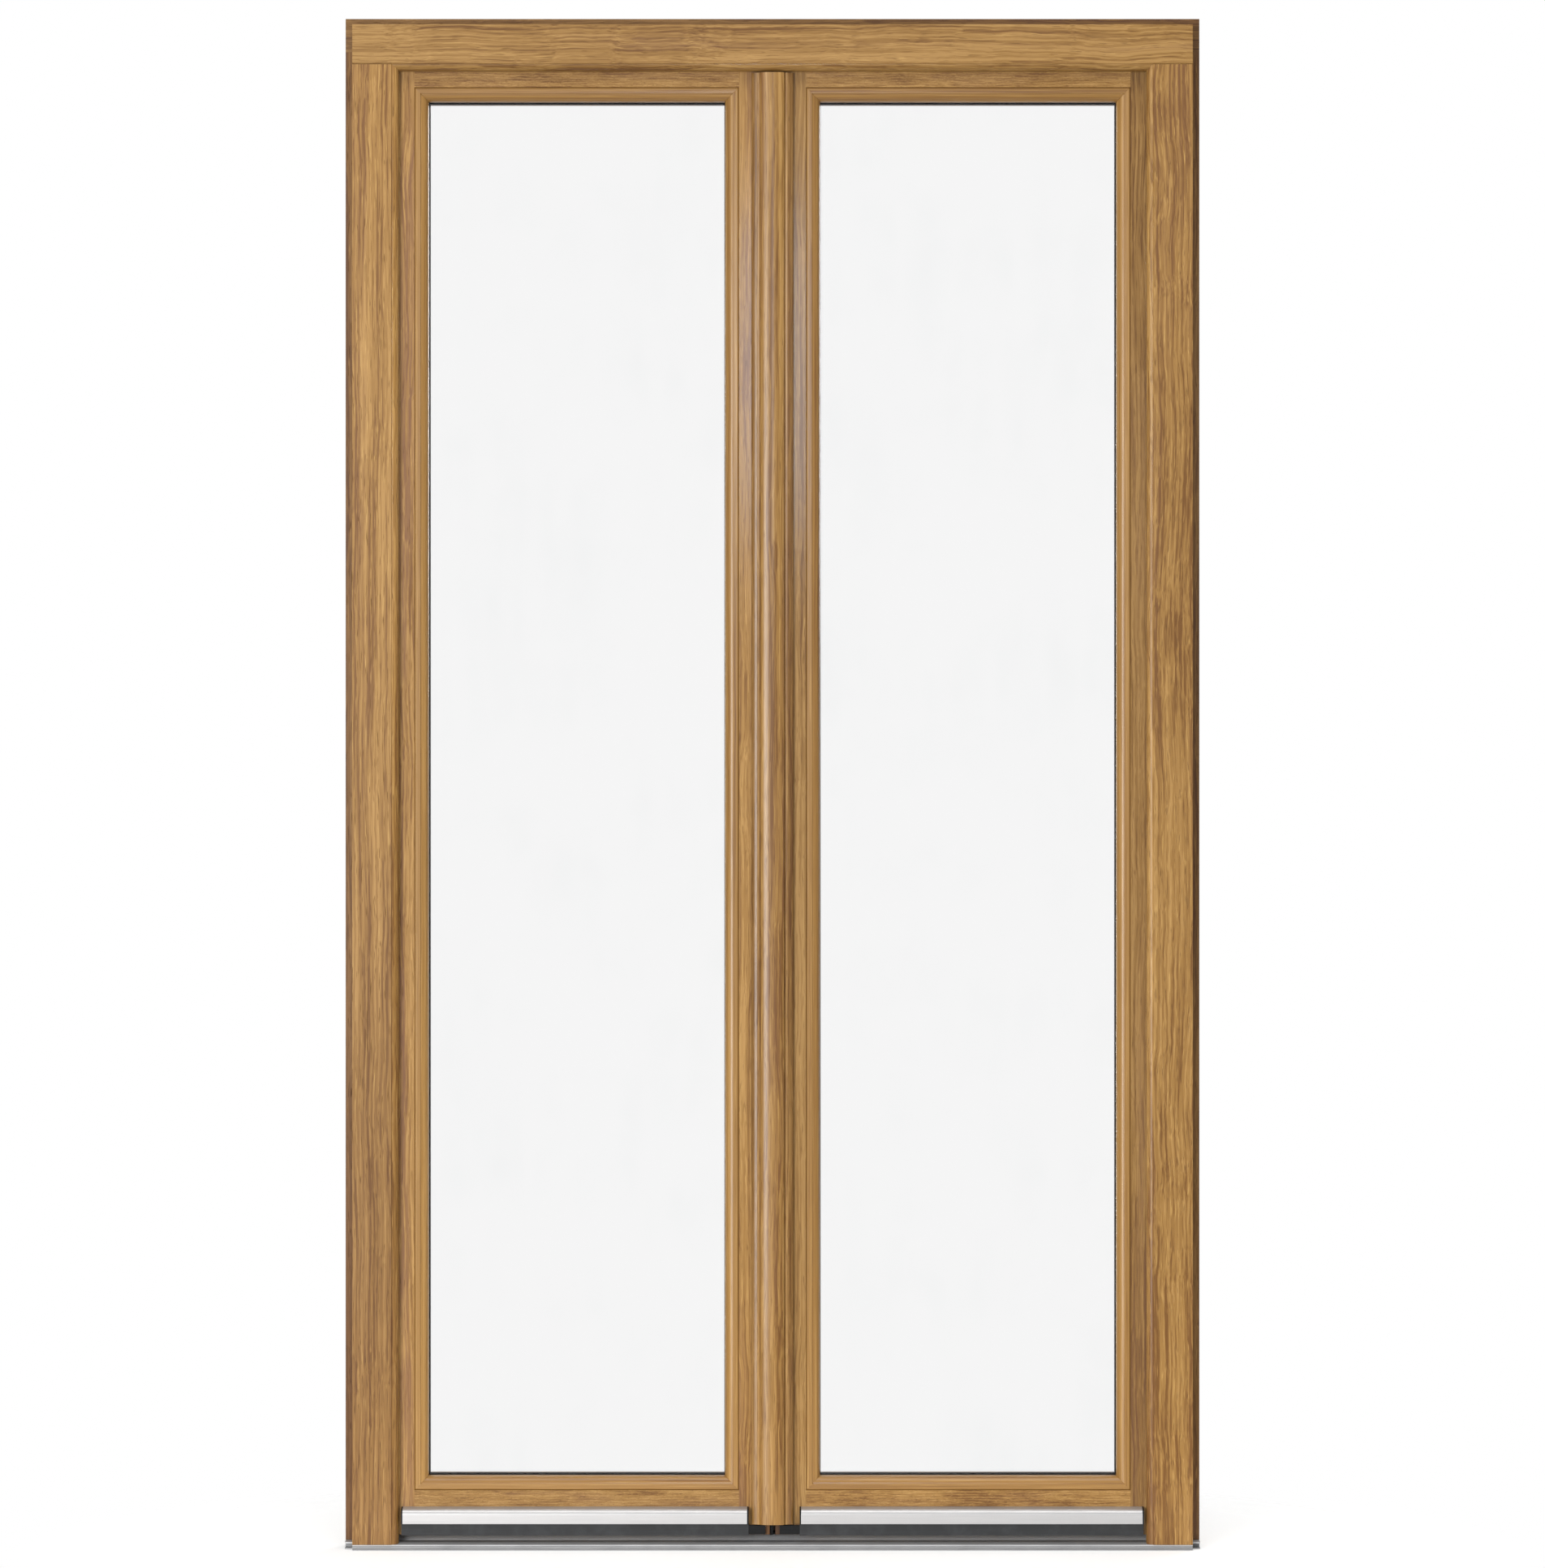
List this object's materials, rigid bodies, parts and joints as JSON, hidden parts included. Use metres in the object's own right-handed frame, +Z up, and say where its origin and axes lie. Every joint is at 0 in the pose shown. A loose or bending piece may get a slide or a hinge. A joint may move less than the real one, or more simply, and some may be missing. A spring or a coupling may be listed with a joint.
{
  "type": "french doors",
  "caption": "Pair of glazed timber doors opening inwards in their own frame, with a low metal threshold, weather bars, an astragal and hidden bolts.",
  "frame": {"origin": "middle of the threshold's underside, in the plane of the frame's outer face", "axes": "+X to the right as seen from outside, +Y inwards into the room, +Z up"},
  "size_m": [1.2, 0.136, 2.148],
  "materials": {
    "frame_oak": "satin stained oak, dark pores",
    "leaf_oak": "satin stained oak, dark pores",
    "bead_oak": "satin stained oak, finer grain",
    "astragal_oak": "satin stained oak",
    "dowel_beech": "plain beech",
    "threshold_aluminium": "satin anodised",
    "bar_aluminium": "satin anodised",
    "grey_plastic": "matt",
    "zinc_steel": "zinc plated",
    "hinge_zinc": "satin zinc",
    "bolt_steel": "satin",
    "pane_glass": "clear float glass",
    "spacer_grey": "matt",
    "seal_rubber": "matt black",
    "block_plastic": "matt",
    "drip_grey": "matt dark grey",
    "cap_plastic": "matt black",
    "knob_brass": "satin bronze"
  },
  "bodies": {
    "frame": {"frame_head": "frame_oak", "frame_jamb_left": "frame_oak", "frame_jamb_right": "frame_oak", "frame_dowels": "dowel_beech", "threshold_outer": "threshold_aluminium", "threshold_strip": "grey_plastic", "threshold_inner": "threshold_aluminium", "threshold_screws": "zinc_steel", "frame_hinges_left": "hinge_zinc", "frame_hinges_right": "hinge_zinc", "head_keepers": "bolt_steel", "threshold_keepers": "grey_plastic"},
    "passive_leaf": {"passive_hinge_stile": "leaf_oak", "passive_meeting_stile": "leaf_oak", "passive_top_rail": "leaf_oak", "passive_bottom_rail": "leaf_oak", "passive_bead_hinge_side": "bead_oak", "passive_bead_meeting_side": "bead_oak", "passive_bead_top": "bead_oak", "passive_bead_bottom": "bead_oak", "passive_pane_outer": "pane_glass", "passive_pane_inner": "pane_glass", "passive_pane_spacer": "spacer_grey", "passive_glazing_seals": "seal_rubber", "passive_setting_blocks": "block_plastic", "passive_edge_seals": "seal_rubber", "passive_weather_bar": "bar_aluminium", "passive_drip_seal": "drip_grey", "passive_bar_end_caps": "cap_plastic", "passive_hinge_sockets": "hinge_zinc", "passive_bolt_plates": "bolt_steel", "astragal": "astragal_oak", "astragal_seal": "seal_rubber"},
    "active_leaf": {"active_hinge_stile": "leaf_oak", "active_meeting_stile": "leaf_oak", "active_top_rail": "leaf_oak", "active_bottom_rail": "leaf_oak", "active_bead_hinge_side": "bead_oak", "active_bead_meeting_side": "bead_oak", "active_bead_top": "bead_oak", "active_bead_bottom": "bead_oak", "active_pane_outer": "pane_glass", "active_pane_inner": "pane_glass", "active_pane_spacer": "spacer_grey", "active_glazing_seals": "seal_rubber", "active_setting_blocks": "block_plastic", "active_edge_seals": "seal_rubber", "active_weather_bar": "bar_aluminium", "active_drip_seal": "drip_grey", "active_bar_end_caps": "cap_plastic", "active_hinge_sockets": "hinge_zinc", "lock_face_plate": "bolt_steel", "lock_case": "bolt_steel", "knob_rose": "knob_brass"},
    "passive_top_bolt": {"passive_top_bolt": "bolt_steel"},
    "passive_bottom_bolt": {"passive_bottom_bolt": "bolt_steel"},
    "lock_top_rod": {"lock_top_rod": "bolt_steel"},
    "lock_bottom_rod": {"lock_bottom_rod": "bolt_steel"},
    "knob": {"knob": "knob_brass"}
  },
  "joints": [
    {"name": "active_leaf_hinge", "type": "hinge", "parent": "frame", "child": "active_leaf", "pos_m": [0.571, 0.08, 0], "axis": [0, 0, -1], "range_deg": [0, 100]},
    {"name": "passive_leaf_hinge", "type": "hinge", "parent": "frame", "child": "passive_leaf", "pos_m": [-0.571, 0.08, 0], "axis": [0, 0, 1], "range_deg": [0, 85]},
    {"name": "knob_turn", "type": "hinge", "parent": "active_leaf", "child": "knob", "pos_m": [0.021, 0, 1.05], "axis": [0, 1, 0], "range_deg": [0, 90]},
    {"name": "lock_top_rod_slide", "type": "slide", "parent": "active_leaf", "child": "lock_top_rod", "axis": [0, 0, 1], "range_m": [0, 0.018]},
    {"name": "lock_bottom_rod_slide", "type": "slide", "parent": "active_leaf", "child": "lock_bottom_rod", "axis": [0, 0, -1], "range_m": [0, 0.018]},
    {"name": "passive_top_bolt_slide", "type": "slide", "parent": "passive_leaf", "child": "passive_top_bolt", "axis": [0, 0, 1], "range_m": [0, 0.018]},
    {"name": "passive_bottom_bolt_slide", "type": "slide", "parent": "passive_leaf", "child": "passive_bottom_bolt", "axis": [0, 0, -1], "range_m": [0, 0.018]}
  ],
  "couplings": [
    {"joint": "passive_leaf_hinge", "follows": "active_leaf_hinge", "ratio": 0.85},
    {"joint": "lock_top_rod_slide", "follows": "knob_turn", "m_per_rad": 0.011459},
    {"joint": "lock_bottom_rod_slide", "follows": "knob_turn", "m_per_rad": 0.011459}
  ]
}
